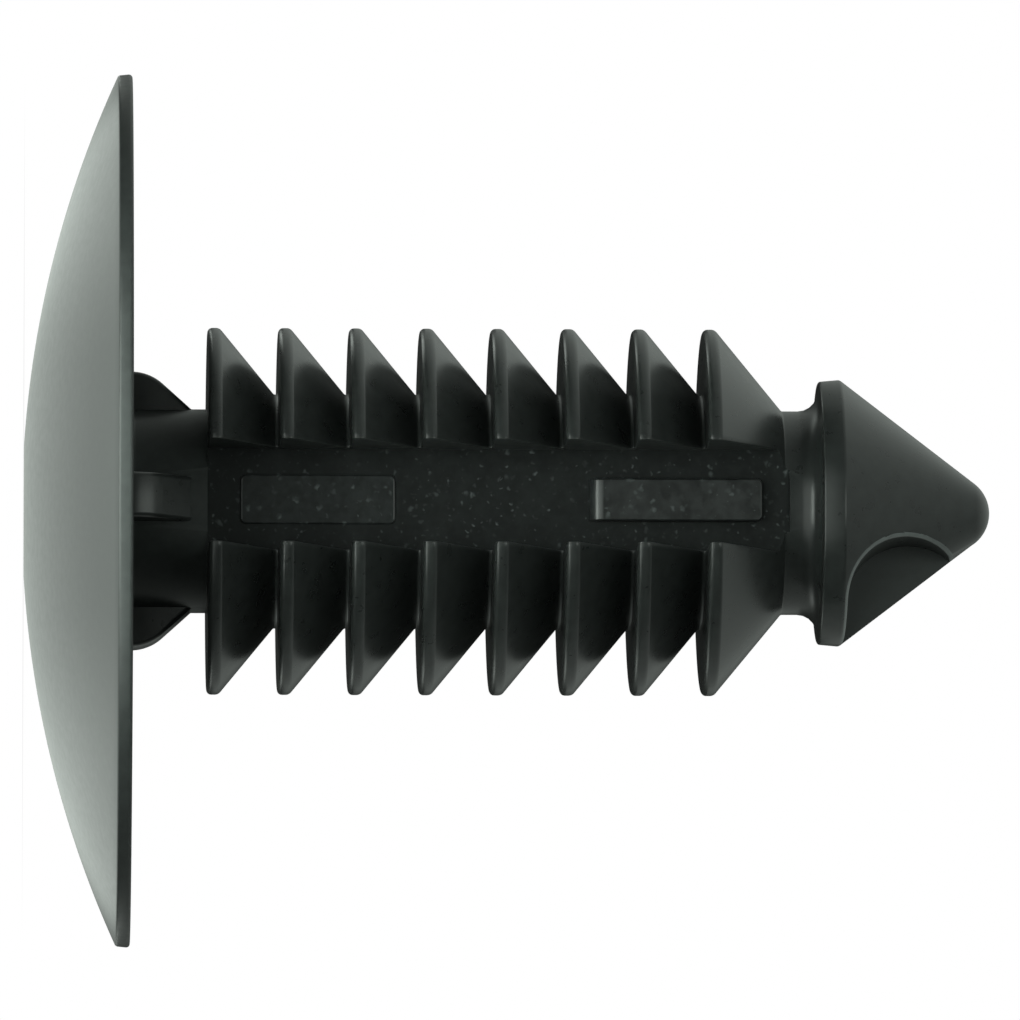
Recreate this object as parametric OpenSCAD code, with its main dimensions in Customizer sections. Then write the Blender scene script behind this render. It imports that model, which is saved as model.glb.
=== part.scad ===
// Push-in retainer for splash shields and trim panels, moulded in one piece of black nylon.
//
// A wide domed head bears on the panel. A barbed stem goes through the panel's hole: its eight
// saw-tooth barbs fold towards the head on the way in and grip behind the panel. A slot down
// the front and another down the back split each barb into two wings, so that they can fold.
//
// The frame: the origin is the centre of the seat, the flat face under the head. +Z runs along
// the stem to the point, so the part stands on its head. The mould opens along Y. The slot that
// carries the two pads faces -Y, and the pocket in the point is cut from that side.

/* [Head] */
// Diameter over the rim
head_d = 30; // [26:0.5:34]
// Height of the straight rim, from the seat to the foot of the dome
rim_t = 0.46; // [0.4:0.02:0.8]
// Rise of the dome from the rim to the flat on its crown
dome_h = 3.22; // [2.4:0.02:4]
// Diameter of the small flat on the crown
crown_flat_d = 4.5; // [2:0.1:7]
// Radius on the rim's two edges
rim_round = 0.12; // [0.05:0.01:0.16]

/* [Shank and gussets] */
// Diameter of the plain shank under the head
shank_d = 7; // [6.4:0.1:7.4]
// Clear length of shank between the seat and the first barb, where the panel sits
grip_len = 2.6; // [2.45:0.05:5]
// Number of gussets that brace the shank against the head
gusset_count = 4; // [2:1:6]
// Diameter over the gussets at the seat, which centres the stem in the panel's hole
gusset_d = 9.5; // [9:0.1:10.5]
// Length of a gusset along the shank
gusset_len = 2; // [1.85:0.05:2.3]
// Radius of a gusset's rounded shoulder
gusset_round = 1.6; // [1:0.05:1.7]
// Thickness of a gusset
gusset_t = 1.55; // [1:0.05:2]

/* [Barbs] */
// Number of barbs along the stem
barb_count = 8; // [4:1:12]
// Diameter over the barbs
barb_d = 12.6; // [11.6:0.1:13.6]
// Distance from one barb to the next
barb_pitch = 2.43; // [2.2:0.01:3]
// Width of the straight rim on a barb's edge
barb_rim_w = 0.41; // [0.3:0.01:0.6]
// Radius on the edges of a barb's rim
barb_round = 0.12; // [0.05:0.01:0.14]
// Diameter of the core at the bottom of the notches
root_d = 8.04; // [7.6:0.02:8.6]
// Width of the flat at the bottom of a notch
root_w = 0.14; // [0.1:0.02:0.4]

/* [Slots and pads] */
// Width of the slots that split the barbs
slot_w = 3.5; // [3:0.1:4.2]
// Thickness of the web left between the front slot and the back slot
web_t = 6.66; // [5.6:0.02:6.9]
// How far the slots run past the last barb
slot_run_out = 0.15; // [0.05:0.05:0.4]
// Length of the low pad near the head
low_pad_len = 5.3; // [3:0.1:6]
// Width of the low pad
low_pad_w = 1.7; // [1:0.1:2.4]
// Height of the low pad above the web
low_pad_h = 0.08; // [0.04:0.01:0.2]
// Distance from the first barb's face to the low pad
low_pad_start = 1.1; // [0.5:0.1:2]
// Length of the high pad near the point
high_pad_len = 5.9; // [3:0.1:7]
// Width of the high pad
high_pad_w = 1.45; // [1:0.05:2.4]
// Height of the high pad above the web
high_pad_h = 0.32; // [0.24:0.02:0.5]
// Distance from the high pad to the end of the slot
high_pad_end = 0.95; // [0.3:0.05:2]
// Radius on the high pad's end towards the head
high_pad_round = 0.3; // [0.1:0.02:0.4]
// Radius on the pads' corners, seen from the front
pad_corner = 0.2; // [0.1:0.05:0.4]

/* [Neck and point] */
// Diameter of the neck behind the point
neck_d = 7; // [6.4:0.1:7.4]
// Length of the neck, from the foot of the last barb to the flange
neck_len = 1.26; // [0.9:0.02:2]
// Radius in the corner between the neck and the flange
neck_fillet = 0.7; // [0.4:0.05:0.8]
// Diameter of the flange at the back of the point
flange_d = 9.17; // [8.7:0.01:9.6]
// Thickness of the flange
flange_t = 0.74; // [0.5:0.02:1.2]
// Radius on the flange's two edges
flange_round = 0.1; // [0.05:0.01:0.14]
// Length of the point past the flange
point_len = 5.18; // [4.2:0.02:6.5]
// Radius of the rounded nose
nose_round = 1.3; // [0.8:0.05:1.7]

/* [Pocket in the point] */
// Diameter of the pocket's round end
pocket_d = 4.5; // [3.6:0.1:4.6]
// Distance of the pocket's centre from the stem's axis
pocket_offset = 3.35; // [2.9:0.05:4]
// Distance from the flange to the pocket's centre
pocket_from_flange = 2.4; // [2.35:0.05:2.8]
// How far the pocket's floor lies behind the middle plane
pocket_floor = 0.3; // [-0.6:0.05:0.6]

/* [Hidden] */
$fn = 96;

nylon_black = "#1b1e1d";
// Depth by which an added shape is sunk into what carries it, and a cut reaches past its end
join = 0.25;
// Angle in degrees at which the arc of a rounding crosses the edges beside it
crossing = 8;
// How far a shape that trims a rounding reaches, in radii of that rounding
trim_reach = 1.5;
// How far the slots' cut reaches past the barbs, in depths of the slot's mouth
slot_reach = 1.3;
// How far a gusset's side runs on inside the shank
gusset_sunk = 0.5;

head_r = head_d / 2;
shank_r = shank_d / 2;
barb_r = barb_d / 2;
root_r = root_d / 2;
neck_r = neck_d / 2;
flange_r = flange_d / 2;
crown_z = -(rim_t + dome_h);

// The dome is a sphere through the rim's upper edge and the edge of the crown flat
dome_centre_z = (pow(head_r, 2) - pow(crown_flat_d / 2, 2) - pow(dome_h, 2)) / (2 * dome_h) - rim_t;
dome_r = norm([head_r, dome_centre_z + rim_t]);

// Stations along the stem, from the seat
function barb_face(i) = grip_len + i * barb_pitch;
barb_slope = (barb_r - root_r) / (barb_pitch - barb_rim_w - root_w);
neck_start = barb_face(barb_count - 1) + barb_rim_w + (barb_r - neck_r) / barb_slope;
flange_start = neck_start + neck_len;
flange_end = flange_start + flange_t;
stem_len = flange_end + point_len;
slot_end = neck_start + slot_run_out;
pocket_z = flange_end + pocket_from_flange;

// The side of the point is the line from the flange's edge that touches the nose
nose_centre = [0, stem_len - nose_round];
flange_edge = [flange_r, flange_end];
nose_touch = touching_point(nose_centre, nose_round * cos(crossing), flange_edge, 1);

// Profile of a gusset: a round shoulder, and a straight side that touches it
shoulder_centre = [gusset_d / 2 - gusset_round, 0];
gusset_foot = [shank_r, gusset_len];
shoulder_touch = touching_point(shoulder_centre, gusset_round * cos(crossing), gusset_foot, -1);
gusset_end = gusset_foot + unit(gusset_foot - shoulder_touch) * gusset_sunk;

// Point where a line from an outside point touches a circle, on the left or the right of it
function touching_point(centre, radius, outside, side) =
    let (reach = outside - centre)
    let (angle = atan2(reach[1], reach[0]) + side * acos(radius / norm(reach)))
    centre + radius * [cos(angle), sin(angle)];

function unit(v) = v / norm(v);

// What rounding takes off a corner: the tip of the corner outside a circle laid into it
module corner_waste(corner, along_a, along_b, radius) {
    a = unit(along_a);
    b = unit(along_b);
    half_angle = acos(a * b) / 2;
    inward = unit(a + b);
    depth = radius * cos(crossing);
    centre = corner + inward * depth / sin(half_angle);
    to_a = corner + a * depth / tan(half_angle) - centre;
    to_b = corner + b * depth / tan(half_angle) - centre;
    difference() {
        polygon([
            centre + trim_reach * to_a,
            centre,
            centre + trim_reach * to_b,
            corner - inward * radius
        ]);
        translate(centre)
            circle(radius);
    }
}

// Half section of the head
module head_profile() {
    depth = rim_round * cos(crossing);
    edge_centre = [
        head_r - depth,
        dome_centre_z - sqrt(pow(dome_r - depth, 2) - pow(head_r - depth, 2))
    ];
    dome_centre = [0, dome_centre_z];
    off_dome = edge_centre + unit(edge_centre - dome_centre) * trim_reach * rim_round;
    difference() {
        intersection() {
            translate(dome_centre)
                circle(dome_r, $fn = 360);
            translate([0, crown_z])
                square([head_r, -crown_z]);
        }
        difference() {
            polygon([
                edge_centre + [trim_reach * rim_round, 0],
                edge_centre,
                off_dome,
                [head_r + rim_round, -rim_t - rim_round]
            ]);
            translate(edge_centre)
                circle(rim_round);
        }
        corner_waste([head_r, 0], [-1, 0], [0, -1], rim_round);
    }
}

// Outline points of one barb: its face, its rim, and the slope down into the next notch
function barb_points(i) = concat(
    [[barb_r, barb_face(i)], [barb_r, barb_face(i) + barb_rim_w]],
    i < barb_count - 1 ? [[root_r, barb_face(i + 1) - root_w], [root_r, barb_face(i + 1)]] : []
);

// Half section of the stem, from inside the head to the nose
module stem_profile() {
    difference() {
        polygon(concat(
            [[0, -rim_t / 2], [shank_r, -rim_t / 2], [shank_r, grip_len]],
            [for (i = [0 : barb_count - 1]) each barb_points(i)],
            [
                [neck_r, neck_start],
                [neck_r, flange_start],
                [flange_r, flange_start],
                flange_edge,
                nose_touch,
                nose_centre
            ]
        ));
        for (i = [0 : barb_count - 1]) {
            corner_waste([barb_r, barb_face(i)], [-1, 0], [0, 1], barb_round);
            corner_waste([barb_r, barb_face(i) + barb_rim_w], [0, -1], [-barb_slope, 1], barb_round);
        }
        corner_waste([flange_r, flange_start], [-1, 0], [0, 1], flange_round);
        corner_waste(flange_edge, [0, -1], nose_touch - flange_edge, flange_round);
    }
    intersection() {
        translate(nose_centre)
            circle(nose_round);
        translate(nose_centre)
            square([nose_round, nose_round]);
    }
    neck_corner();
}

// Fillet in the corner between the neck and the flange
module neck_corner() {
    depth = neck_fillet * cos(crossing);
    difference() {
        translate([neck_r - join, flange_start - depth])
            square([depth + join, depth + join]);
        translate([neck_r + depth, flange_start - depth])
            circle(neck_fillet);
    }
}

// Gussets round the shank, one of them facing the front
module gussets() {
    for (i = [0 : gusset_count - 1])
        rotate([90, 0, i * 360 / gusset_count])
            linear_extrude(height = gusset_t, center = true) {
                polygon([
                    [0, -rim_t / 2],
                    [shoulder_centre[0], -rim_t / 2],
                    shoulder_centre,
                    shoulder_touch,
                    gusset_end,
                    [0, gusset_end[1]]
                ]);
                intersection() {
                    translate(shoulder_centre)
                        circle(gusset_round);
                    translate([shoulder_centre[0] - join, -rim_t / 2])
                        square([gusset_round + join, gusset_round + rim_t / 2]);
                }
            }
}

// The two slots that split the barbs, one open to the front and one to the back. Their walls are
// parallel, and over the barbs' rounded edges they open in line with the axis.
module slots() {
    mouth_r = barb_r - 2 * barb_round;
    mouth = [slot_w / 2, sqrt(pow(mouth_r, 2) - pow(slot_w / 2, 2))];
    outside = mouth * slot_reach;
    for (side = [0, 180])
        rotate([0, 0, side])
            translate([0, 0, grip_len])
                linear_extrude(height = slot_end - grip_len)
                    polygon([
                        [-slot_w / 2, web_t / 2],
                        [slot_w / 2, web_t / 2],
                        mouth,
                        outside,
                        [-outside[0], outside[1]],
                        [-mouth[0], mouth[1]]
                    ]);
}

// Outline of a pad seen from the front, with rounded corners, lying from z = 0 upwards
module pad_outline(width, length) {
    difference() {
        translate([-width / 2, 0])
            square([width, length]);
        for (x = [-1, 1]) {
            corner_waste([x * width / 2, 0], [-x, 0], [0, 1], pad_corner);
            corner_waste([x * width / 2, length], [-x, 0], [0, -1], pad_corner);
        }
    }
}

// A pad on the floor of the front slot
module pad(width, length, height, start) {
    translate([0, -web_t / 2 + join, start])
        rotate([90, 0, 0])
            linear_extrude(height = height + join)
                pad_outline(width, length);
}

// The high pad, with its end towards the head rounded over
module high_pad() {
    start = slot_end - high_pad_end - high_pad_len;
    top = -web_t / 2 - high_pad_h;
    difference() {
        pad(high_pad_w, high_pad_len, high_pad_h, start);
        translate([-high_pad_w, 0, 0])
            rotate([90, 0, 90])
                linear_extrude(height = 2 * high_pad_w)
                    corner_waste([top, start], [1, 0], [0, 1], high_pad_round);
    }
}

// Round-ended pocket in the side of the point, cut from the front past the middle plane
module pocket() {
    depth = flange_r + pocket_floor;
    translate([pocket_offset, pocket_floor, pocket_z])
        rotate([90, 0, 0])
            linear_extrude(height = depth) {
                circle(d = pocket_d);
                translate([0, -pocket_d / 2])
                    square([flange_r, pocket_d]);
            }
}

module retainer() {
    color(nylon_black) {
        difference() {
            union() {
                rotate_extrude() {
                    head_profile();
                    stem_profile();
                }
                gussets();
            }
            slots();
            pocket();
        }
        pad(low_pad_w, low_pad_len, low_pad_h, grip_len + low_pad_start);
        high_pad();
    }
}

retainer();
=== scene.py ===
"""Dresses the push-in shield retainer: one moulding of black nylon, on a plain white table.

The moulding is modelled in millimetres, the way it would be drawn by hand: its half section is
turned round the stem, the slots and the pocket are cut, the gussets and pads are fused on, and the
sharp edges are eased. It is then brought to metres and stands for the solid of the same name.
"""

import logging
import math
from collections.abc import Callable, Iterable
from dataclasses import dataclass, field
from enum import Enum, IntEnum

import bmesh
import bpy
from mathutils import Matrix, Vector


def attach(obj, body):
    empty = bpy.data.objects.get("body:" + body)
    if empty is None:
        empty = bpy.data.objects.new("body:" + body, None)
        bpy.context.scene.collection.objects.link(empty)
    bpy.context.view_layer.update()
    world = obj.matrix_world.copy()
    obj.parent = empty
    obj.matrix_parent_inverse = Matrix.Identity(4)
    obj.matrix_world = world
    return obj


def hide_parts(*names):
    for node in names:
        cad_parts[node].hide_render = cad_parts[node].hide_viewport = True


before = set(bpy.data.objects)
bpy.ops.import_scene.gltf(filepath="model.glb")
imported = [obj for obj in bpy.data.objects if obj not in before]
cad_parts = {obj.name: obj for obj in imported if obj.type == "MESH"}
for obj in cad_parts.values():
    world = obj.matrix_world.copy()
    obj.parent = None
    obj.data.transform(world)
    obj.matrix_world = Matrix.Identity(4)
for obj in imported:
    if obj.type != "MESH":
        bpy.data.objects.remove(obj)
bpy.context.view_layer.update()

LOG = logging.getLogger("retainer")
MM = 0.001
NODE = "retainer"
BODY = "root"

# Tolerances of the modelling, in mm.
SAME = 0.0005
ON_FACE = 0.002
CLOSE = 0.01
MARGIN = 0.1

# Sockets of the mix node while it blends colours.
COLOUR_A = 6
COLOUR_B = 7
COLOUR_RESULT = 2

Point2 = tuple[float, float]
Span = tuple[float, float]
Place = tuple[float, float, float]
Colour = tuple[float, float, float]
PlaceTest = Callable[[Vector], bool]
EdgeTest = Callable[[Vector, Vector], bool]
Amount = float | bpy.types.NodeSocket


class Cut(Enum):
    """How a second shape is worked into the moulding."""

    AWAY = "DIFFERENCE"
    ON = "UNION"


class Area(IntEnum):
    """The areas of the moulding that have finishes of their own, in the order of their slots."""

    STEM = 0
    SLOTS = 1
    LOW_PAD = 2
    HIGH_PAD = 3
    DOME = 4
    DULL = 5
    LIP = 6
    PAD_EDGE = 7
    BASE = 8


@dataclass(frozen=True)
class Corner:
    """A corner of an outline, in mm: its place and the radius that rounds it."""

    x: float
    z: float
    rounding: float = 0.0


def arc(centre: Point2, radius: float, start: float, end: float, pieces: int) -> list[Point2]:
    """Points along an arc.

    Args:
        centre: Middle of the arc.
        radius: Its radius.
        start: Angle of the first point, in radians.
        end: Angle of the last point, in radians.
        pieces: Number of straight pieces that the arc is drawn with.

    Returns:
        The points from start to end, both included.
    """
    angles = [start + (end - start) * i / pieces for i in range(pieces + 1)]
    return [(centre[0] + radius * math.cos(a), centre[1] + radius * math.sin(a)) for a in angles]


def rounded(corners: list[Corner], pieces: int = 5) -> list[Point2]:
    """Draws an open outline with its corners rounded.

    Args:
        corners: The outline's corners in order. The first and the last stay sharp.
        pieces: Straight pieces in each rounded corner.

    Returns:
        The outline's points.
    """
    points: list[Point2] = [(corners[0].x, corners[0].z)]
    for before, corner, after in zip(corners, corners[1:], corners[2:]):
        here = Vector((corner.x, corner.z))
        if corner.rounding == 0:
            points.append((corner.x, corner.z))
            continue
        back = (Vector((before.x, before.z)) - here).normalized()
        on = (Vector((after.x, after.z)) - here).normalized()
        half = math.acos(max(-1.0, min(1.0, back.dot(on)))) / 2
        centre = here + (back + on).normalized() * corner.rounding / math.sin(half)
        first = here + back * corner.rounding / math.tan(half) - centre
        last = here + on * corner.rounding / math.tan(half) - centre
        start = math.atan2(first.y, first.x)
        turn = math.atan2(first.x * last.y - first.y * last.x, first.dot(last))
        points += arc((centre.x, centre.y), corner.rounding, start, start + turn, pieces)
    points.append((corners[-1].x, corners[-1].z))
    return points


def touch_angle(centre: Point2, radius: float, outside: Point2, side: int) -> float:
    """Angle on a circle at which a line from an outside point touches it.

    Args:
        centre: Middle of the circle.
        radius: Its radius.
        outside: The point that the line comes from.
        side: 1 for the touch counter-clockwise of the point's direction, -1 for the other one.

    Returns:
        The angle in radians.
    """
    reach = (outside[0] - centre[0], outside[1] - centre[1])
    return math.atan2(reach[1], reach[0]) + side * math.acos(radius / math.hypot(*reach))


class Bench:
    """The modelling moves that every shape here is made with."""

    @staticmethod
    def clear() -> None:
        """Leaves edit mode and deselects everything."""
        if bpy.context.object and bpy.context.object.mode != "OBJECT":
            bpy.ops.object.mode_set(mode="OBJECT")
        bpy.ops.object.select_all(action="DESELECT")

    @staticmethod
    def pick(piece: bpy.types.Object) -> None:
        """Makes one object the only one selected, and the active one."""
        Bench.clear()
        piece.select_set(True)
        bpy.context.view_layer.objects.active = piece

    @staticmethod
    def edit(piece: bpy.types.Object) -> None:
        """Opens an object in edit mode with all of its mesh selected."""
        Bench.pick(piece)
        bpy.ops.object.mode_set(mode="EDIT")
        bpy.ops.mesh.select_all(action="SELECT")

    @staticmethod
    def done() -> None:
        """Closes edit mode."""
        bpy.ops.object.mode_set(mode="OBJECT")

    @staticmethod
    def drawn(name: str, points: Iterable[Point2], closed: bool = False) -> bpy.types.Object:
        """Draws an outline in the XZ plane by extruding one vertex along it.

        Args:
            name: Name of the new object.
            points: The outline's points as (x, z), in mm.
            closed: True to close the outline and fill it with a face.

        Returns:
            The new object, in object mode.
        """
        places = [Vector((x, 0.0, z)) for x, z in points]
        Bench.clear()
        bpy.ops.mesh.primitive_plane_add(size=1.0, location=(0, 0, 0))
        piece = bpy.context.object
        piece.name = name
        piece.data.name = name
        Bench.edit(piece)
        bpy.ops.mesh.merge(type="CENTER")
        bpy.ops.transform.translate(value=places[0])
        for here, there in zip(places, places[1:]):
            bpy.ops.mesh.extrude_vertices_move(TRANSFORM_OT_translate={"value": there - here})
        if closed:
            bpy.ops.mesh.select_all(action="SELECT")
            bpy.ops.mesh.edge_face_add()
            bpy.ops.mesh.select_all(action="SELECT")
            bpy.ops.mesh.edge_face_add()
        Bench.done()
        return piece

    @staticmethod
    def thicken(piece: bpy.types.Object, thickness: Vector) -> None:
        """Gives a flat shape a thickness, half of it to each side."""
        Bench.edit(piece)
        bpy.ops.transform.translate(value=-thickness / 2)
        bpy.ops.mesh.extrude_region_move(TRANSFORM_OT_translate={"value": thickness})
        bpy.ops.mesh.select_all(action="SELECT")
        bpy.ops.mesh.normals_make_consistent(inside=False)
        Bench.done()

    @staticmethod
    def block(name: str, low: Vector, high: Vector) -> bpy.types.Object:
        """Adds a block between two corners, in mm."""
        Bench.clear()
        bpy.ops.mesh.primitive_cube_add(size=1.0, location=(low + high) / 2, scale=high - low)
        piece = bpy.context.object
        piece.name = name
        bpy.ops.object.transform_apply(location=True, rotation=True, scale=True)
        return piece

    @staticmethod
    def work(body: bpy.types.Object, tool: bpy.types.Object, how: Cut) -> None:
        """Cuts a tool away from a body or fuses it on, and removes the tool.

        Args:
            body: The shape that stays.
            tool: The closed shape that is cut away or fused on.
            how: Which of the two.
        """
        Bench.pick(body)
        cutter = body.modifiers.new("work", "BOOLEAN")
        cutter.operation = how.value
        cutter.solver = "EXACT"
        cutter.object = tool
        bpy.ops.object.modifier_apply(modifier=cutter.name)
        bpy.data.objects.remove(tool)

    @staticmethod
    def ease(
        body: bpy.types.Object, test: EdgeTest, size: float, pieces: int, area: Area = Area.STEM
    ) -> int:
        """Rounds the edges that a test picks.

        Args:
            body: The shape to work on.
            test: Says from an edge's two ends whether it is rounded.
            size: How far the rounding reaches from the edge, in mm.
            pieces: Straight pieces in the rounding.
            area: Area that the rounding belongs to.

        Returns:
            The number of edges that were rounded.
        """
        Bench.edit(body)
        bpy.ops.mesh.select_all(action="DESELECT")
        bpy.ops.mesh.select_mode(type="EDGE")
        mesh = bmesh.from_edit_mesh(body.data)
        chosen = [e for e in mesh.edges if test(e.verts[0].co, e.verts[1].co)]
        for e in chosen:
            e.select_set(True)
        bmesh.update_edit_mesh(body.data)
        if chosen:
            bpy.ops.mesh.bevel(offset=size, segments=pieces, affect="EDGES", clamp_overlap=False)
            mesh = bmesh.from_edit_mesh(body.data)
            for face in mesh.faces:
                if face.select:
                    face.material_index = area
            bmesh.update_edit_mesh(body.data)
        bpy.ops.mesh.select_mode(type="VERT")
        Bench.done()
        return len(chosen)


class Wiring:
    """The nodes that the grain, the table and the surroundings are put together from."""

    @staticmethod
    def give(tree: bpy.types.NodeTree, socket: bpy.types.NodeSocket, amount: Amount) -> None:
        """Gives a socket a number, or links it to another value of the tree."""
        if isinstance(amount, bpy.types.NodeSocket):
            tree.links.new(amount, socket)
        else:
            socket.default_value = amount

    @staticmethod
    def worked(tree: bpy.types.NodeTree, operation: str, *amounts: Amount) -> bpy.types.NodeSocket:
        """Works out one value from one or two others, by the name of the operation."""
        node = tree.nodes.new("ShaderNodeMath")
        node.operation = operation
        for amount, socket in zip(amounts, node.inputs):
            Wiring.give(tree, socket, amount)
        return node.outputs["Value"]

    @staticmethod
    def fade(
        tree: bpy.types.NodeTree, value: bpy.types.NodeSocket, limits: tuple[Amount, Amount, Amount, Amount]
    ) -> bpy.types.NodeSocket:
        """Adds a smooth fade.

        Args:
            tree: Node tree that it is added to.
            value: What it follows.
            limits: Where it starts and ends, and its strength at the start and the end.

        Returns:
            The faded strength.
        """
        node = tree.nodes.new("ShaderNodeMapRange")
        node.interpolation_type = "SMOOTHSTEP"
        for label, limit in zip(("From Min", "From Max", "To Min", "To Max"), limits):
            Wiring.give(tree, node.inputs[label], limit)
        tree.links.new(value, node.inputs["Value"])
        return node.outputs["Result"]


class Grain:
    """The grain that the mould leaves on nylon, as a node group that the finishes share."""

    name = "moulded_grain"
    detail = 3.0
    fineness = 0.55
    tone_span: Span = (0.25, 0.75)
    stir_detail = 1.0
    stir_fineness = 0.5
    unevenness = 0.3 * MM
    smallest_dot = 0.35
    rarity = 2.0

    @classmethod
    def group(cls) -> bpy.types.NodeTree:
        """Builds the group, or gives it back where it is there already."""
        if cls.name in bpy.data.node_groups:
            return bpy.data.node_groups[cls.name]
        tree = bpy.data.node_groups.new(cls.name, "ShaderNodeTree")
        for label in ("Grain", "Fleck", "Share"):
            tree.interface.new_socket(label, in_out="INPUT", socket_type="NodeSocketFloat")
        for label in ("Tone", "Flecks", "Height"):
            tree.interface.new_socket(label, in_out="OUTPUT", socket_type="NodeSocketFloat")
        given = tree.nodes.new("NodeGroupInput")
        result = tree.nodes.new("NodeGroupOutput")
        place = tree.nodes.new("ShaderNodeTexCoord").outputs["Object"]
        grain = cls.noise(tree, cls.detail, cls.fineness)
        tree.links.new(place, grain.inputs["Vector"])
        tree.links.new(given.outputs["Grain"], grain.inputs["Scale"])
        tone = Wiring.fade(tree, grain.outputs["Fac"], (*cls.tone_span, 0.0, 1.0))
        tree.links.new(tone, result.inputs["Tone"])
        tree.links.new(cls.flecks(tree, place, given), result.inputs["Flecks"])
        tree.links.new(grain.outputs["Fac"], result.inputs["Height"])
        return tree

    @classmethod
    def flecks(
        cls, tree: bpy.types.NodeTree, place: bpy.types.NodeSocket, given: bpy.types.Node
    ) -> bpy.types.NodeSocket:
        """Adds the flecks: uneven dots of many sizes, most of them faint.

        Args:
            tree: Node tree that they are added to.
            place: Where on the object a point lies.
            given: The group's inputs.

        Returns:
            How strong the fleck is at a point.
        """
        stir = cls.noise(tree, cls.stir_detail, cls.stir_fineness)
        tree.links.new(place, stir.inputs["Vector"])
        shift = tree.nodes.new("ShaderNodeVectorMath")
        shift.operation = "MULTIPLY_ADD"
        shift.inputs[1].default_value = (cls.unevenness, cls.unevenness, cls.unevenness)
        tree.links.new(stir.outputs["Color"], shift.inputs[0])
        tree.links.new(place, shift.inputs[2])
        cells = tree.nodes.new("ShaderNodeTexVoronoi")
        tree.links.new(shift.outputs["Vector"], cells.inputs["Vector"])
        for texture in (stir, cells):
            tree.links.new(given.outputs["Fleck"], texture.inputs["Scale"])
        chance = tree.nodes.new("ShaderNodeSeparateColor")
        tree.links.new(cells.outputs["Color"], chance.inputs["Color"])
        size = Wiring.worked(tree, "ADD", chance.outputs["Green"], cls.smallest_dot)
        reach = Wiring.worked(tree, "MULTIPLY", size, given.outputs["Share"])
        dots = Wiring.fade(tree, cells.outputs["Distance"], (0.0, reach, 1.0, 0.0))
        strength = Wiring.worked(tree, "POWER", chance.outputs["Red"], cls.rarity)
        return Wiring.worked(tree, "MULTIPLY", dots, strength)

    @staticmethod
    def noise(tree: bpy.types.NodeTree, detail: float, fineness: float) -> bpy.types.Node:
        """Adds a noise texture with its detail and the weight of its finer layers."""
        texture = tree.nodes.new("ShaderNodeTexNoise")
        texture.inputs["Detail"].default_value = detail
        texture.inputs["Roughness"].default_value = fineness
        return texture


@dataclass(frozen=True)
class Nylon:
    """A black nylon finish: its two tones, its gloss and the grain that the mould left on it."""

    name: str
    dark: Colour
    light: Colour
    smooth: float
    rough: float
    grain_size: float
    relief: float
    fleck_colour: Colour | None = None
    fleck_gap: float = 0.25
    fleck_share: float = 0.45
    specular: float = 0.5
    ior: float = 1.53

    def material(self) -> bpy.types.Material:
        """Builds the finish as a material."""
        material = bpy.data.materials.new(self.name)
        material.use_nodes = True
        nodes, links = material.node_tree.nodes, material.node_tree.links
        shader = nodes["Principled BSDF"]
        shader.inputs["IOR"].default_value = self.ior
        shader.inputs["Specular IOR Level"].default_value = self.specular
        grain = nodes.new("ShaderNodeGroup")
        grain.node_tree = Grain.group()
        grain.inputs["Grain"].default_value = 1.0 / (self.grain_size * MM)
        grain.inputs["Fleck"].default_value = 1.0 / (self.fleck_gap * MM)
        grain.inputs["Share"].default_value = self.fleck_share
        tone = self.blend(material, self.dark, self.light)
        links.new(grain.outputs["Tone"], tone.inputs["Factor"])
        links.new(tone.outputs[COLOUR_RESULT], shader.inputs["Base Color"])
        if self.fleck_colour:
            fleck = self.blend(material, self.dark, self.fleck_colour)
            links.new(tone.outputs[COLOUR_RESULT], fleck.inputs[COLOUR_A])
            links.new(grain.outputs["Flecks"], fleck.inputs["Factor"])
            links.new(fleck.outputs[COLOUR_RESULT], shader.inputs["Base Color"])
        gloss = nodes.new("ShaderNodeMapRange")
        gloss.inputs["To Min"].default_value = self.smooth
        gloss.inputs["To Max"].default_value = self.rough
        links.new(grain.outputs["Tone"], gloss.inputs["Value"])
        links.new(gloss.outputs["Result"], shader.inputs["Roughness"])
        relief = nodes.new("ShaderNodeBump")
        relief.inputs["Strength"].default_value = 1.0
        relief.inputs["Distance"].default_value = self.relief * MM
        links.new(grain.outputs["Height"], relief.inputs["Height"])
        links.new(relief.outputs["Normal"], shader.inputs["Normal"])
        return material

    @staticmethod
    def blend(material: bpy.types.Material, first: Colour, second: Colour) -> bpy.types.Node:
        """Adds a node that blends two colours."""
        node = material.node_tree.nodes.new("ShaderNodeMix")
        node.data_type = "RGBA"
        node.inputs[COLOUR_A].default_value = (*first, 1.0)
        node.inputs[COLOUR_B].default_value = (*second, 1.0)
        return node


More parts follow.
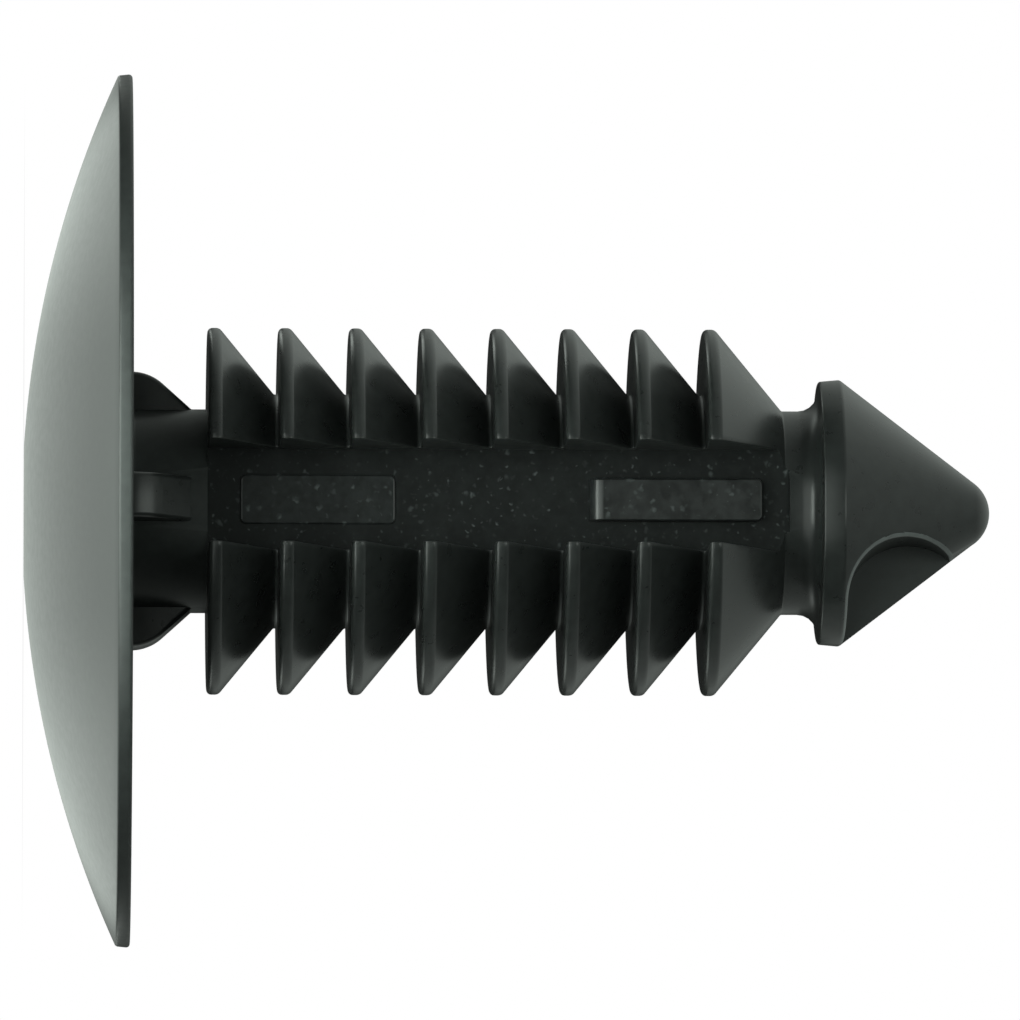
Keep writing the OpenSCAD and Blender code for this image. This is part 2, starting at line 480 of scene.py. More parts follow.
@dataclass(frozen=True)
class Finishes:
    """The finishes of the moulding, one for each area.

    The stem is satin and the base below it a little duller, with a lighter tone that is painted fill light
    for the shank in the shade under the head.
    The slots and pads are flecked, with glossier pad ends that are also painted lighter as a highlight. The
    dome is finely sparked;
    the flat slot walls and the pocket floor are painted lighter as fill light in their shade, and the lip
    is painted light as a highlight.
    """

    stem: Nylon = Nylon(
        name="satin_stem",
        dark=(0.0200, 0.0223, 0.0216),
        light=(0.0265, 0.0296, 0.0287),
        smooth=0.27,
        rough=0.31,
        grain_size=0.50,
        relief=0.0002,
        specular=0.38,
    )
    slots: Nylon = Nylon(
        name="flecked_slots",
        dark=(0.0080, 0.0092, 0.0091),
        light=(0.0145, 0.0165, 0.0162),
        fleck_colour=(0.085, 0.097, 0.096),
        smooth=0.55,
        rough=0.72,
        grain_size=0.35,
        relief=0.003,
        specular=0.13,
    )
    low_pad: Nylon = Nylon(
        name="flecked_low_pad",
        dark=(0.0095, 0.0109, 0.0108),
        light=(0.0210, 0.0241, 0.0238),
        fleck_colour=(0.090, 0.103, 0.103),
        smooth=0.45,
        rough=0.60,
        grain_size=0.35,
        relief=0.003,
        specular=0.16,
    )
    high_pad: Nylon = Nylon(
        name="flecked_high_pad",
        dark=(0.0075, 0.0086, 0.0085),
        light=(0.0170, 0.0195, 0.0193),
        fleck_colour=(0.070, 0.080, 0.080),
        smooth=0.30,
        rough=0.42,
        grain_size=0.35,
        relief=0.002,
        specular=0.4,
    )
    dome: Nylon = Nylon(
        name="sparked_dome",
        dark=(0.0100, 0.0112, 0.0106),
        light=(0.0150, 0.0166, 0.0158),
        smooth=0.33,
        rough=0.37,
        grain_size=0.30,
        relief=0.0008,
    )
    # Flat slot walls and pocket floor: a lighter nylon tone, painted fill light in their shade.
    fill_painted: Nylon = Nylon(
        name="nylon_fill_painted",
        dark=(0.0400, 0.0444, 0.0430),
        light=(0.0480, 0.0533, 0.0516),
        smooth=0.45,
        rough=0.55,
        grain_size=0.40,
        relief=0.0008,
        specular=0.35,
    )
    # The lip's light tone and flecks are a painted highlight along the pocket's eased edge.
    lip: Nylon = Nylon(
        name="lip_painted_highlight",
        dark=(0.085, 0.096, 0.095),
        light=(0.140, 0.158, 0.155),
        fleck_colour=(0.150, 0.168, 0.165),
        smooth=0.40,
        rough=0.55,
        grain_size=0.50,
        fleck_gap=0.50,
        relief=0.001,
    )
    # Pad ends and eased pad edges: glossier, with a lighter tone painted on as a highlight.
    pad_edge: Nylon = Nylon(
        name="pad_edge",
        dark=(0.0150, 0.0172, 0.0170),
        light=(0.0220, 0.0252, 0.0249),
        smooth=0.28,
        rough=0.36,
        grain_size=0.35,
        relief=0.001,
        specular=0.6,
    )
    # Base: duller gloss, and a lighter tone that is painted fill light for the shank in the shade under the
    # head; the head's rim shares it.
    base: Nylon = Nylon(
        name="satin_base_painted_light",
        dark=(0.0265, 0.0296, 0.0287),
        light=(0.0325, 0.0363, 0.0352),
        smooth=0.32,
        rough=0.40,
        grain_size=0.40,
        relief=0.001,
        specular=0.16,
    )

    def of(self, area: Area) -> Nylon:
        """Gives the finish of an area."""
        return {
            Area.STEM: self.stem,
            Area.SLOTS: self.slots,
            Area.LOW_PAD: self.low_pad,
            Area.HIGH_PAD: self.high_pad,
            Area.DOME: self.dome,
            Area.DULL: self.fill_painted,
            Area.LIP: self.lip,
            Area.PAD_EDGE: self.pad_edge,
            Area.BASE: self.base,
        }[area]


@dataclass(frozen=True)
class Head:
    """The wide domed head, in mm."""

    diameter: float = 30.0
    rim: float = 0.46
    dome_rise: float = 3.22
    crown_flat: float = 4.5
    rim_rounding: float = 0.12
    rim_draft: float = 0.05
    dome_pieces: int = 28

    @property
    def crown(self) -> float:
        """Height of the crown, which is below the seat."""
        return -self.rim - self.dome_rise

    def corners(self) -> list[Corner]:
        """Half section from the middle of the crown to the edge of the seat."""
        radius = self.diameter / 2
        flat = self.crown_flat / 2
        centre = (radius**2 - flat**2 - self.dome_rise**2) / (2 * self.dome_rise) - self.rim
        sphere = math.hypot(radius, centre + self.rim)
        start = -math.pi / 2 + math.asin(flat / sphere)
        end = -math.pi / 2 + math.asin(radius / sphere)
        dome = arc((0.0, centre), sphere, start, end, self.dome_pieces)
        foot = radius - self.rim_draft
        return [
            Corner(0.0, self.crown),
            *[Corner(x, z) for x, z in dome[:-1]],
            Corner(foot, centre - math.sqrt(sphere**2 - foot**2), self.rim_rounding),
            Corner(radius, 0.0, self.rim_rounding),
        ]


@dataclass(frozen=True)
class Shank:
    """The plain shank under the head and the gussets that brace it, in mm."""

    diameter: float = 7.0
    grip: float = 2.6
    foot_fillet: float = 0.15
    gusset_diameter: float = 9.5
    gusset_length: float = 2.0
    gusset_round: float = 1.6
    gusset_thickness: float = 1.55
    gusset_edge: float = 0.16
    sunk: float = 0.23
    round_pieces: int = 10
    edge_pieces: int = 4

    def corners(self) -> list[Corner]:
        """Half section from the seat to the face of the first barb."""
        radius = self.diameter / 2
        return [Corner(radius, 0.0, self.foot_fillet), Corner(radius, self.grip)]

    def gusset_pair(self, turn: float) -> bpy.types.Object:
        """Makes two opposite gussets as one bar through the shank.

        Args:
            turn: Angle of the bar about the stem, in radians.

        Returns:
            The bar.
        """

        def along(a: Vector, b: Vector) -> bool:
            """Tells the edges along the bar's sides from those across it and under the seat."""
            return abs(a.y - b.y) < CLOSE and min(a.z, b.z) > -MARGIN

        shoulder = (self.gusset_diameter / 2 - self.gusset_round, 0.0)
        foot = (self.diameter / 2, self.gusset_length)
        touch = touch_angle(shoulder, self.gusset_round, foot, -1)
        side = arc(shoulder, self.gusset_round, 0.0, touch, self.round_pieces)
        slope = (Vector(foot) - Vector(side[-1])).normalized()
        inside = Vector(foot) + slope * self.sunk * 2
        right = [(side[0][0], -self.sunk), *side, foot, (inside.x, inside.y)]
        left = [(-x, z) for x, z in reversed(right)]
        bar = Bench.drawn("gussets", right + left, closed=True)
        Bench.thicken(bar, Vector((0, self.gusset_thickness, 0)))
        Bench.ease(bar, along, self.gusset_edge, self.edge_pieces)
        bar.data.transform(Matrix.Rotation(turn, 4, "Z"))
        return bar


@dataclass(frozen=True)
class Barbs:
    """The saw-tooth barbs, in mm."""

    count: int = 8
    diameter: float = 12.6
    pitch: float = 2.43
    rim: float = 0.41
    face_rounding: float = 0.17
    back_rounding: float = 0.24
    root_diameter: float = 8.04
    root_flat: float = 0.14
    root_rounding: float = 0.08

    @property
    def slope(self) -> float:
        """Fall of a barb's back towards the axis, for each mm along it."""
        return (self.diameter - self.root_diameter) / 2 / (self.pitch - self.rim - self.root_flat)

    def face(self, grip: float, number: int) -> float:
        """Height of a barb's face."""
        return grip + number * self.pitch

    def back_end(self, grip: float, radius: float) -> float:
        """Height at which the last barb's back comes down to a radius."""
        return self.face(grip, self.count - 1) + self.rim + (self.diameter / 2 - radius) / self.slope

    def corners(self, grip: float) -> list[Corner]:
        """Half section from the edge of the first barb to the rim of the last one."""
        tip = self.diameter / 2
        root = self.root_diameter / 2
        section: list[Corner] = []
        for number in range(self.count):
            face = self.face(grip, number)
            if number > 0:
                section.append(Corner(root, face - self.root_flat, self.root_rounding))
                section.append(Corner(root, face, self.root_rounding))
            section.append(Corner(tip, face, self.face_rounding))
            section.append(Corner(tip, face + self.rim, self.back_rounding))
        return section


@dataclass(frozen=True)
class Point:
    """The neck, flange, point and the pocket in its side, in mm."""

    neck_diameter: float = 7.0
    neck_length: float = 1.26
    neck_fillet: float = 0.7
    flange_diameter: float = 9.17
    flange: float = 0.74
    flange_rounding: float = 0.1
    flange_draft: float = 0.065
    flange_softness: float = 0.16
    length: float = 5.18
    nose_rounding: float = 1.3
    pocket_diameter: float = 4.5
    pocket_offset: float = 3.35
    pocket_from_flange: float = 2.4
    pocket_floor: float = 0.3
    lip: float = 0.13
    lip_lead: float = 0.06
    nose_pieces: int = 12
    pocket_pieces: int = 128
    lip_pieces: int = 6

    def flange_end(self, neck_start: float) -> float:
        """Height of the flange's far edge."""
        return neck_start + self.neck_length + self.flange

    def pocket_middle(self, neck_start: float) -> float:
        """Height of the pocket's middle."""
        return self.flange_end(neck_start) + self.pocket_from_flange

    def corners(self, neck_start: float) -> list[Corner]:
        """Half section from the foot of the last barb to the end of the nose."""
        neck = self.neck_diameter / 2
        edge = self.flange_diameter / 2
        flange_start = neck_start + self.neck_length
        flange_end = self.flange_end(neck_start)
        nose = (0.0, flange_end + self.length - self.nose_rounding)
        touch = touch_angle(nose, self.nose_rounding, (edge, flange_end), 1)
        end = arc(nose, self.nose_rounding, touch, math.pi / 2, self.nose_pieces)
        return [
            Corner(neck, neck_start, self.flange_rounding),
            Corner(neck, flange_start, self.neck_fillet),
            Corner(edge - self.flange_draft, flange_start, self.flange_rounding),
            Corner(edge, flange_end, self.flange_softness),
            *[Corner(x, z) for x, z in end],
        ]

    def pocket(self, neck_start: float) -> bpy.types.Object:
        """Makes the round-ended shape that is cut out of the point's side."""
        middle = self.pocket_middle(neck_start)
        depth = self.flange_diameter
        Bench.clear()
        bpy.ops.mesh.primitive_cylinder_add(
            vertices=self.pocket_pieces,
            radius=self.pocket_diameter / 2,
            depth=depth,
            location=(self.pocket_offset, self.pocket_floor - depth / 2, middle),
            rotation=(math.pi / 2, 0, 0),
        )
        tool = bpy.context.object
        bpy.ops.object.transform_apply(location=True, rotation=True, scale=True)
        for vertex in tool.data.vertices:
            if vertex.co.x > self.pocket_offset + CLOSE:
                vertex.co.x += self.flange_diameter
        return tool


@dataclass(frozen=True)
class Slots:
    """The front and back slots that split the barbs, and the pads in the front one, in mm."""

    width: float = 3.5
    web: float = 6.66
    run_out: float = 0.15
    edge: float = 0.06
    low_length: float = 5.3
    low_width: float = 1.7
    low_height: float = 0.08
    low_start: float = 1.1
    high_length: float = 5.9
    high_width: float = 1.45
    high_height: float = 0.32
    high_end: float = 0.95
    high_round: float = 0.5
    pad_corner: float = 0.2
    pad_edge: float = 0.07
    sunk: float = 0.3
    reach: float = 8.0
    overlap: float = 0.01
    edge_pieces: int = 2
    pad_corner_pieces: int = 5
    pad_edge_pieces: int = 3
    run_up_pieces: int = 10

    def cutter(self, side: int, start: float, end: float) -> bpy.types.Object:
        """Makes the block that cuts one slot.

        Args:
            side: -1 for the front slot, 1 for the back one.
            start: Height of the slot's end towards the head.
            end: Height of the slot's end towards the point.

        Returns:
            The block.
        """
        near, far = sorted((side * self.web / 2, side * self.reach))
        low = Vector((-self.width / 2, near, start - self.overlap))
        return Bench.block("slot", low, Vector((self.width / 2, far, end)))

    def low_pad(self, start: float) -> bpy.types.Object:
        """Makes the low pad, with rounded corners and eased edges, from its end towards the head."""
        floor = -self.web / 2
        top = floor - self.low_height
        low = Vector((-self.low_width / 2, top, start))
        high = Vector((self.low_width / 2, floor + self.sunk, start + self.low_length))
        pad = Bench.block("low_pad", low, high)
        Bench.ease(pad, lambda a, b: abs(a.y - b.y) > CLOSE, self.pad_corner, self.pad_corner_pieces)
        Bench.ease(pad, lambda a, b: max(a.y, b.y) < top + ON_FACE, self.pad_edge, self.pad_edge_pieces)
        return pad

    def high_pad(self, start: float) -> bpy.types.Object:
        """Makes the high pad, whose end towards the head runs up in a round."""
        floor = self.web / 2
        top = floor + self.high_height
        end = start + self.high_length
        run_up = math.acos(1 - self.high_height / self.high_round)
        centre = (top - self.high_round, start + self.high_round * math.sin(run_up))
        ramp = arc(centre, self.high_round, -run_up, 0.0, self.run_up_pieces)
        inside = floor - self.sunk
        pad = Bench.drawn("high_pad", [(inside, start), *ramp, (top, end), (inside, end)], closed=True)
        pad.data.transform(Matrix.Rotation(-math.pi / 2, 4, "Z"))
        Bench.thicken(pad, Vector((self.high_width, 0, 0)))
        side = self.high_width / 2 - ON_FACE

        def at_end(a: Vector, b: Vector) -> bool:
            """Tells the upright edges of the end towards the point from the other edges."""
            return abs(a.y - b.y) > CLOSE and min(a.z, b.z) > end - CLOSE

        def on_top(a: Vector, b: Vector) -> bool:
            """Tells the edges round the pad's upper face from the other edges."""
            along = all(abs(p.x) > side and p.y < -floor - ON_FACE for p in (a, b))
            across = min(a.z, b.z) > end - self.pad_corner - ON_FACE and max(a.y, b.y) < -top + ON_FACE
            return (along and abs(a.z - b.z) > SAME) or across

        Bench.ease(pad, at_end, self.pad_corner, self.pad_corner_pieces)
        Bench.ease(pad, on_top, self.pad_edge, self.pad_edge_pieces)
        return pad


@dataclass
class Retainer:
    """The whole moulding."""

    head: Head = field(default_factory=Head)
    shank: Shank = field(default_factory=Shank)
    barbs: Barbs = field(default_factory=Barbs)
    slots: Slots = field(default_factory=Slots)
    point: Point = field(default_factory=Point)
    meridians: int = 96
    meridians_in_slot: float = 5.5
    smooth_up_to: float = 32.0
    wall_margin: float = 0.05
    shank_margin: float = 0.02

    @property
    def neck_start(self) -> float:
        """Height of the foot of the last barb."""
        return self.barbs.back_end(self.shank.grip, self.point.neck_diameter / 2)

    @property
    def slot_end(self) -> float:
        """Height of the slots' end towards the point."""
        return self.neck_start + self.slots.run_out

    @property
    def high_start(self) -> float:
        """Height of the high pad's end towards the head."""
        return self.slot_end - self.slots.high_end - self.slots.high_length

    def build(self) -> bpy.types.Object:
        """Models the moulding and brings it to metres."""
        body = self.turned()
        self.cut_slots(body)
        self.add_gussets(body)
        self.add_pads(body)
        self.cut_pocket(body)
        self.finish_mesh(body)
        return body

    def turned(self) -> bpy.types.Object:
        """Turns the half section round the stem."""
        grip = self.shank.grip
        section = rounded([
            *self.head.corners(),
            *self.shank.corners(),
            *self.barbs.corners(grip),
            *self.point.corners(self.neck_start),
        ])
        body = Bench.drawn("nylon_retainer", section)
        Bench.edit(body)
        bpy.ops.mesh.spin(
            steps=self.meridians,
            angle=math.tau,
            use_auto_merge=True,
            center=(0, 0, 0),
            axis=(0, 0, 1),
        )
        bpy.ops.mesh.select_all(action="SELECT")
        bpy.ops.mesh.remove_doubles(threshold=SAME)
        bpy.ops.mesh.normals_make_consistent(inside=False)
        Bench.done()
        self.lead_meridians(body)
        LOG.info("turned section of %d points", len(section))
        return body

    def lead_meridians(self, body: bpy.types.Object) -> None:
        """Leads the meridians so that each slot wall falls midway between two of them."""
        wall = math.tau / self.meridians * self.meridians_in_slot
        for vertex in body.data.vertices:
            x, y, z = vertex.co
            radius = math.hypot(x, y)
            if radius < MARGIN or not self.shank.grip - MARGIN < z < self.slot_end + MARGIN:
                continue
            angle = math.atan2(abs(x), abs(y))
            place = math.asin(self.slots.width / 2 / max(radius, self.barbs.root_diameter / 2))
            if angle < wall:
                led = angle * place / wall
            else:
                led = place + (angle - wall) * (math.pi / 2 - place) / (math.pi / 2 - wall)
            vertex.co.x = math.copysign(radius * math.sin(led), x)
            vertex.co.y = math.copysign(radius * math.cos(led), y)

    def cut_slots(self, body: bpy.types.Object) -> None:
        """Cuts the two slots and eases the edges of their walls."""
        for side in (-1, 1):
            Bench.work(body, self.slots.cutter(side, self.shank.grip, self.slot_end), Cut.AWAY)
        wall = self.slots.width / 2
        floor = self.slots.web / 2
        low = self.shank.grip - MARGIN
        high = self.slot_end + MARGIN

        def on_wall(a: Vector, b: Vector) -> bool:
            """Tells the outer edges of the slot walls from the other edges."""
            flush = all(abs(abs(p.x) - wall) < ON_FACE for p in (a, b))
            inside = all(low < p.z < high and abs(p.y) > floor - ON_FACE for p in (a, b))
            outer = max(abs(a.y), abs(b.y)) > floor + CLOSE
            return flush and inside and outer and self.is_outer_edge(a, b)

        count = Bench.ease(body, on_wall, self.slots.edge, self.slots.edge_pieces)
        LOG.info("slots cut, %d wall edges eased", count)

    def is_outer_edge(self, a: Vector, b: Vector) -> bool:
        """Says whether an edge of a slot wall follows the barbs' outline and isn't a wall's end."""
        ends = (self.shank.grip - self.slots.overlap, self.slot_end)
        flat = abs(a.z - b.z) < SAME
        return not (flat and any(abs(a.z - end) < ON_FACE for end in ends))

    def add_gussets(self, body: bpy.types.Object) -> None:
        """Fuses on the four gussets."""
        for turn in (0.0, math.pi / 2):
            Bench.work(body, self.shank.gusset_pair(turn), Cut.ON)

    def add_pads(self, body: bpy.types.Object) -> None:
        """Fuses on the low and the high pad."""
        slots = self.slots
        Bench.work(body, slots.low_pad(self.shank.grip + slots.low_start), Cut.ON)
        Bench.work(body, slots.high_pad(self.high_start), Cut.ON)

    def cut_pocket(self, body: bpy.types.Object) -> None:
        """Cuts the pocket in the side of the point and eases its lip."""
        point = self.point
        Bench.work(body, point.pocket(self.neck_start), Cut.AWAY)
        middle = point.pocket_middle(self.neck_start)
        radius = point.pocket_diameter / 2

        def on_wall(p: Vector) -> bool:
            """Says whether a place lies on the pocket's wall."""
            across = min(p.x - point.pocket_offset, 0.0)
            return abs(math.hypot(across, p.z - middle) - radius) < 2 * ON_FACE

        def on_lip(a: Vector, b: Vector) -> bool:
            """Tells the outer edge of the wall from its foot and from the edges that run up it."""
            foot = min(a.y, b.y) > point.pocket_floor - ON_FACE
            upright = math.hypot(a.x - b.x, a.z - b.z) < SAME
            return on_wall(a) and on_wall(b) and not foot and not upright

        self.even_lip(body, on_wall)
        # The eased lip takes the finish with the painted highlight.
        count = Bench.ease(body, on_lip, point.lip, point.lip_pieces, Area.LIP)
        LOG.info("pocket cut, %d edges of its lip eased", count)

    def even_lip(self, body: bpy.types.Object, on_wall: PlaceTest) -> None:
        """Leads the meridians that end between two uprights of the pocket's wall to the nearer one.

        Args:
            body: The moulding with its pocket cut.
            on_wall: Says whether a place lies on the pocket's wall.
        """
        vertices = body.data.vertices
        tops: list[Vector] = []
        for edge in body.data.edges:
            a, b = (vertices[i].co for i in edge.vertices)
            if on_wall(a) and on_wall(b) and math.hypot(a.x - b.x, a.z - b.z) < SAME:
                tops.append(min(a, b, key=lambda p: p.y).copy())
        for vertex in vertices:
            here = vertex.co
            if not on_wall(here) or here.y > self.point.pocket_floor - ON_FACE:
                continue
            nearest = min(tops, key=lambda p: math.hypot(p.x - here.x, p.z - here.z))
            if math.hypot(nearest.x - here.x, nearest.z - here.z) < self.point.lip_lead:
                vertex.co = nearest
        Bench.edit(body)
        bpy.ops.mesh.select_all(action="DESELECT")
        mesh = bmesh.from_edit_mesh(body.data)
        for vertex in mesh.verts:
            vertex.select_set(on_wall(vertex.co))
        bmesh.update_edit_mesh(body.data)
        bpy.ops.mesh.remove_doubles(threshold=SAME)
        Bench.done()

    def dress(self, body: bpy.types.Object, finishes: Finishes) -> None:
        """Gives each area of the moulding its finish. The lip has got its area when it was eased."""
        for area in Area:
            body.data.materials.append(finishes.of(area).material())
        for face in body.data.polygons:
            if face.material_index != Area.LIP:
                face.material_index = self.area_at(face.center / MM)

    def area_at(self, place: Vector) -> Area:
        """Says which area the middle of a face belongs to."""
        x, y, z = place
        slots, point = self.slots, self.point
        wall = slots.width / 2 - self.wall_margin
        floor = slots.web / 2
        if z < -self.head.rim:
            return Area.DOME
        radius = math.hypot(x, y)
        on_shank = z < self.shank.grip and radius < self.shank.diameter / 2 + self.shank_margin
        # The rim and the plain shank take the base, whose lighter tone is painted fill light.
        if z < 0.0 or on_shank:
            return Area.BASE
        along_slots = self.shank.grip < z < self.slot_end
        if along_slots and abs(x) < wall and abs(y) > floor - CLOSE:
            return self.pad_area(z) if y < -floor - CLOSE else Area.SLOTS
        # The flat slot walls and the pocket floor take the lighter tone that is painted fill light.
        if along_slots and abs(abs(x) - slots.width / 2) < CLOSE:
            return Area.DULL
        middle = point.pocket_middle(self.neck_start)
        near = abs(z - middle) < point.pocket_diameter / 2
        if near and abs(y - point.pocket_floor) < CLOSE and x > 0.0:
            return Area.DULL
        return Area.STEM

    def pad_area(self, z: float) -> Area:
        """Tells the ends of the pads from the rest of them."""
        slots = self.slots
        # The ends and eased edges of the pads take the finish with the painted highlight.
        if z < self.high_start:
            start = self.shank.grip + slots.low_start
            margin = min(z - start, start + slots.low_length - z)
            return Area.PAD_EDGE if margin < slots.pad_edge else Area.LOW_PAD
        ramp = z < self.high_start + slots.high_round
        return Area.PAD_EDGE if ramp else Area.HIGH_PAD

    def finish_mesh(self, body: bpy.types.Object) -> None:
        """Brings the mesh to metres and sets its shading."""
        body.data.transform(Matrix.Scale(MM, 4))
        Bench.pick(body)
        bpy.ops.object.shade_smooth_by_angle(angle=math.radians(self.smooth_up_to))
        weighted = body.modifiers.new("weighted", "WEIGHTED_NORMAL")
        weighted.keep_sharp = True
        bpy.ops.object.modifier_apply(modifier=weighted.name)


@dataclass(frozen=True)
class Studio:
    """The white table, the light and the camera, in metres and degrees."""

    floor_size: float = 6.0
    floor_gap: float = 0.01 * MM
    tint: Colour = (0.91, 1.0, 0.935)
    contact_shade: float = 0.85
    contact_reach: float = 3.0 * MM
    table_glow: float = 1.3
    flank_glow: float = 1.7
    flank_span: Span = (4.0 * MM, 11.0 * MM)
    side_glow: float = 0.14
    corner_glow: float = 2.5
    corner_span: Span = (5.0 * MM, 30.0 * MM)
    rim_span: Span = (15.0 * MM, 19.0 * MM)
    behind_share: float = 0.06
    behind_slant: Span = (0.35, 0.8)
    distance_share: float = 0.16
    distance_span: Span = (30.0 * MM, 60.0 * MM)
    patch_near: float = 10.5
    patch_far: float = 1.6
    patch_fall: Span = (-25.0 * MM, -19.0 * MM)
    patch_start: Span = (-18.0 * MM, -15.0 * MM)
    patch_stop: Span = (-260.0 * MM, -110.0 * MM)
    patch_slant: Span = (0.32, 0.72)
    wedge_shift: float = 2.0 * MM
    wedge_root: float = 8.0 * MM
    ahead: float = 0.06
    around: float = 0.42
    around_span: Span = (-0.5, 0.35)
    behind: float = 0.08
    behind_span: Span = (0.93, 0.99)
    overhead: float = 0.42
    overhead_span: Span = (0.25, 0.9)
    overhead_axis: Place = (-0.6, 0.0, 0.8)
    lamp_place: Place = (0.0, -0.42, 0.3)
    lamp_aim: Place = (0.0, 0.0, 0.01)
    lamp_size: Span = (0.2, 0.36)
    lamp_power: float = 0.47
    azimuth: float = 7.2
    elevation: float = -1.84
    roll: float = 0.19
    distance: float = 0.5
    frame_width: float = 35.05 * MM
    sensor_width: float = 36.0
    clip: Span = (0.01, 100.0)
    aim: Place = (-0.08 * MM, 0.0, 13.02 * MM)

    def table(self, height: float) -> bpy.types.Object:
        """Lays the white table under the part.

        Args:
            height: Height of the part's lowest point.

        Returns:
            The table.
        """
        Bench.clear()
        bpy.ops.mesh.primitive_plane_add(size=self.floor_size, location=(0, 0, height - self.floor_gap))
        floor = bpy.context.object
        floor.name = "table"
        material = bpy.data.materials.new("white_table")
        material.use_nodes = True
        tree = material.node_tree
        tree.nodes.clear()
        light = tree.nodes.new("ShaderNodeEmission")
        light.inputs["Color"].default_value = (*self.tint, 1.0)
        tree.links.new(self.glow(tree), light.inputs["Strength"])
        out = tree.nodes.new("ShaderNodeOutputMaterial")
        self.eye_or_light(tree, self.seen_table(tree), light.outputs["Emission"], out)
        floor.data.materials.append(material)
        return floor

    def seen_table(self, tree: bpy.types.NodeTree) -> bpy.types.NodeSocket:
        """Adds what the eye sees of the table.

        Args:
            tree: Node tree of the table.

        Returns:
            The shader. It is white from above, with a soft shade where the part stands, and clear from
            below, so that the part can be seen from there.
        """
        contact = tree.nodes.new("ShaderNodeAmbientOcclusion")
        contact.inputs["Distance"].default_value = self.contact_reach
        lift = tree.nodes.new("ShaderNodeMapRange")
        lift.inputs["To Min"].default_value = self.contact_shade
        tree.links.new(contact.outputs["AO"], lift.inputs["Value"])
        white = tree.nodes.new("ShaderNodeEmission")
        tree.links.new(lift.outputs["Result"], white.inputs["Strength"])
        side = tree.nodes.new("ShaderNodeNewGeometry")
        clear = tree.nodes.new("ShaderNodeBsdfTransparent")
        mix = tree.nodes.new("ShaderNodeMixShader")
        tree.links.new(side.outputs["Backfacing"], mix.inputs["Fac"])
        tree.links.new(white.outputs["Emission"], mix.inputs[1])
        tree.links.new(clear.outputs["BSDF"], mix.inputs[2])
        return mix.outputs["Shader"]

    def glow(self, tree: bpy.types.NodeTree) -> bpy.types.NodeSocket:
        """Adds the strength of the table as a light.

        Args:
            tree: Node tree of the table.

        Returns:
            The strength. It is bright under the part and in a patch in front of it, and dim behind the
            part and far away from it.
        """
        place = tree.nodes.new("ShaderNodeTexCoord").outputs["Object"]
        parts = tree.nodes.new("ShaderNodeSeparateXYZ")
        tree.links.new(place, parts.inputs["Vector"])
        x, y = parts.outputs["X"], parts.outputs["Y"]
        away = tree.nodes.new("ShaderNodeVectorMath")
        away.operation = "LENGTH"
        tree.links.new(place, away.inputs[0])
        radius = away.outputs["Value"]
        across = Wiring.worked(tree, "ABSOLUTE", x)
        offset = Wiring.worked(tree, "ABSOLUTE", Wiring.worked(tree, "SUBTRACT", x, self.wedge_shift))
        depth = Wiring.worked(tree, "ADD", Wiring.worked(tree, "ABSOLUTE", y), self.wedge_root)
        slant = Wiring.worked(tree, "DIVIDE", offset, depth)
        under = Wiring.fade(tree, across, (*self.flank_span, self.table_glow, self.flank_glow))
        beside = Wiring.fade(tree, y, (*self.corner_span, self.side_glow, self.corner_glow))
        shade = Wiring.fade(tree, slant, (*self.behind_slant, self.behind_share, 1.0))
        far = Wiring.fade(tree, radius, (*self.distance_span, 1.0, self.distance_share))
        outside = Wiring.worked(tree, "MULTIPLY", beside, Wiring.worked(tree, "MULTIPLY", shade, far))
        plain = Wiring.fade(tree, radius, (*self.rim_span, under, outside))
        near = Wiring.fade(tree, y, (*self.patch_fall, self.patch_far, self.patch_near))
        wedge = Wiring.fade(tree, slant, (*self.patch_slant, 1.0, 0.0))
        start = Wiring.fade(tree, y, (*self.patch_start, 1.0, 0.0))
        stop = Wiring.fade(tree, y, (*self.patch_stop, 0.0, 1.0))
        patch = Wiring.worked(tree, "MULTIPLY", near, wedge)
        reach = Wiring.worked(tree, "MULTIPLY", start, stop)
        return Wiring.worked(tree, "ADD", plain, Wiring.worked(tree, "MULTIPLY", patch, reach))

    def surroundings(self) -> None:
        """Sets the surroundings: white to the eye; as a light, bright at the sides and above."""
        world = bpy.data.worlds.new("white_studio")
        bpy.context.scene.world = world
        world.use_nodes = True
        tree = world.node_tree
        nodes, links = tree.nodes, tree.links
        nodes.clear()
        seen = nodes.new("ShaderNodeBackground")
        seen.inputs["Color"].default_value = (1.0, 1.0, 1.0, 1.0)
        light = nodes.new("ShaderNodeBackground")
        light.inputs["Color"].default_value = (*self.tint, 1.0)
        direction = nodes.new("ShaderNodeTexCoord")
        parts = nodes.new("ShaderNodeSeparateXYZ")
        links.new(direction.outputs["Generated"], parts.inputs["Vector"])
        y = parts.outputs["Y"]
        around = Wiring.fade(tree, y, (*self.around_span, self.ahead, self.around))
        loss = Wiring.fade(tree, y, (*self.behind_span, 0.0, self.around - self.behind))
        sides = Wiring.worked(tree, "SUBTRACT", around, loss)
        lean = nodes.new("ShaderNodeVectorMath")
        lean.operation = "DOT_PRODUCT"
        lean.inputs[1].default_value = self.overhead_axis
        links.new(direction.outputs["Generated"], lean.inputs[0])
        above = Wiring.fade(tree, lean.outputs["Value"], (*self.overhead_span, 0.0, self.overhead))
        links.new(Wiring.worked(tree, "ADD", sides, above), light.inputs["Strength"])
        out = nodes.new("ShaderNodeOutputWorld")
        self.eye_or_light(tree, seen.outputs["Background"], light.outputs["Background"], out)

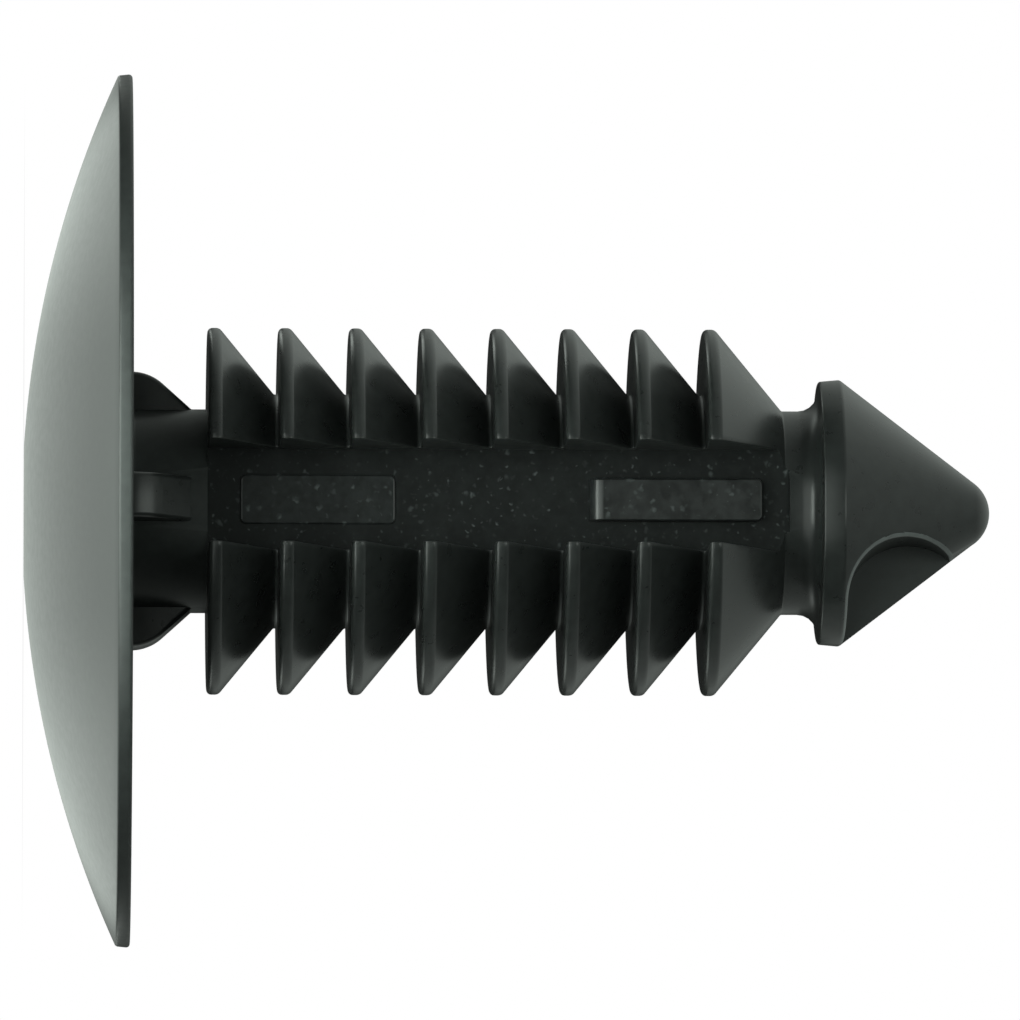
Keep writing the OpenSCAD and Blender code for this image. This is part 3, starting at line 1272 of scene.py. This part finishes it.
    @staticmethod
    def eye_or_light(
        tree: bpy.types.NodeTree,
        seen: bpy.types.NodeSocket,
        light: bpy.types.NodeSocket,
        out: bpy.types.Node,
    ) -> None:
        """Shows one shader to the camera and lights the part with the other."""
        mix = tree.nodes.new("ShaderNodeMixShader")
        path = tree.nodes.new("ShaderNodeLightPath")
        tree.links.new(path.outputs["Is Camera Ray"], mix.inputs["Fac"])
        tree.links.new(light, mix.inputs[1])
        tree.links.new(seen, mix.inputs[2])
        tree.links.new(mix.outputs["Shader"], out.inputs["Surface"])

    def lamp(self) -> bpy.types.Object:
        """Hangs a soft rectangular lamp in front of the part, which the camera doesn't see."""
        data = bpy.data.lights.new("front", "AREA")
        data.shape = "RECTANGLE"
        data.size, data.size_y = self.lamp_size
        data.energy = self.lamp_power
        data.color = self.tint
        lamp = bpy.data.objects.new("front", data)
        bpy.context.scene.collection.objects.link(lamp)
        lamp.location = self.lamp_place
        ray = Vector(self.lamp_aim) - Vector(self.lamp_place)
        lamp.rotation_euler = ray.to_track_quat("-Z", "Y").to_euler()
        lamp.visible_camera = False
        return lamp

    def camera(self) -> bpy.types.Object:
        """Sets the camera, lying on its side so that the stem runs to the right."""
        data = bpy.data.cameras.new("camera")
        data.sensor_width = self.sensor_width
        data.lens = self.sensor_width * self.distance / self.frame_width
        data.clip_start, data.clip_end = self.clip
        camera = bpy.data.objects.new("camera", data)
        bpy.context.scene.collection.objects.link(camera)
        turn = math.radians(self.azimuth)
        lift = math.radians(self.elevation)
        back = Vector((math.sin(turn) * math.cos(lift), -math.cos(turn) * math.cos(lift), math.sin(lift)))
        right = (Vector((0, 0, 1)) - back * back.z).normalized()
        up = back.cross(right)
        axes = Matrix((right, up, back)).transposed().to_4x4()
        roll = Matrix.Rotation(math.radians(self.roll), 4, "Z")
        camera.matrix_world = Matrix.Translation(Vector(self.aim) + back * self.distance) @ axes @ roll
        bpy.context.scene.camera = camera
        return camera


def main() -> None:
    """Builds the moulding, dresses it and sets it in the studio."""
    logging.basicConfig(level=logging.INFO, format="%(message)s")
    retainer = Retainer()
    body = retainer.build()
    retainer.dress(body, Finishes())
    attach(body, BODY)
    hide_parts(NODE)
    LOG.info("%s: %d faces", body.name, len(body.data.polygons))

    studio = Studio()
    studio.table(retainer.head.crown * MM)
    studio.surroundings()
    studio.lamp()
    studio.camera()
    bpy.context.scene.view_settings.view_transform = "Standard"


if __name__ == "__main__":
    main()
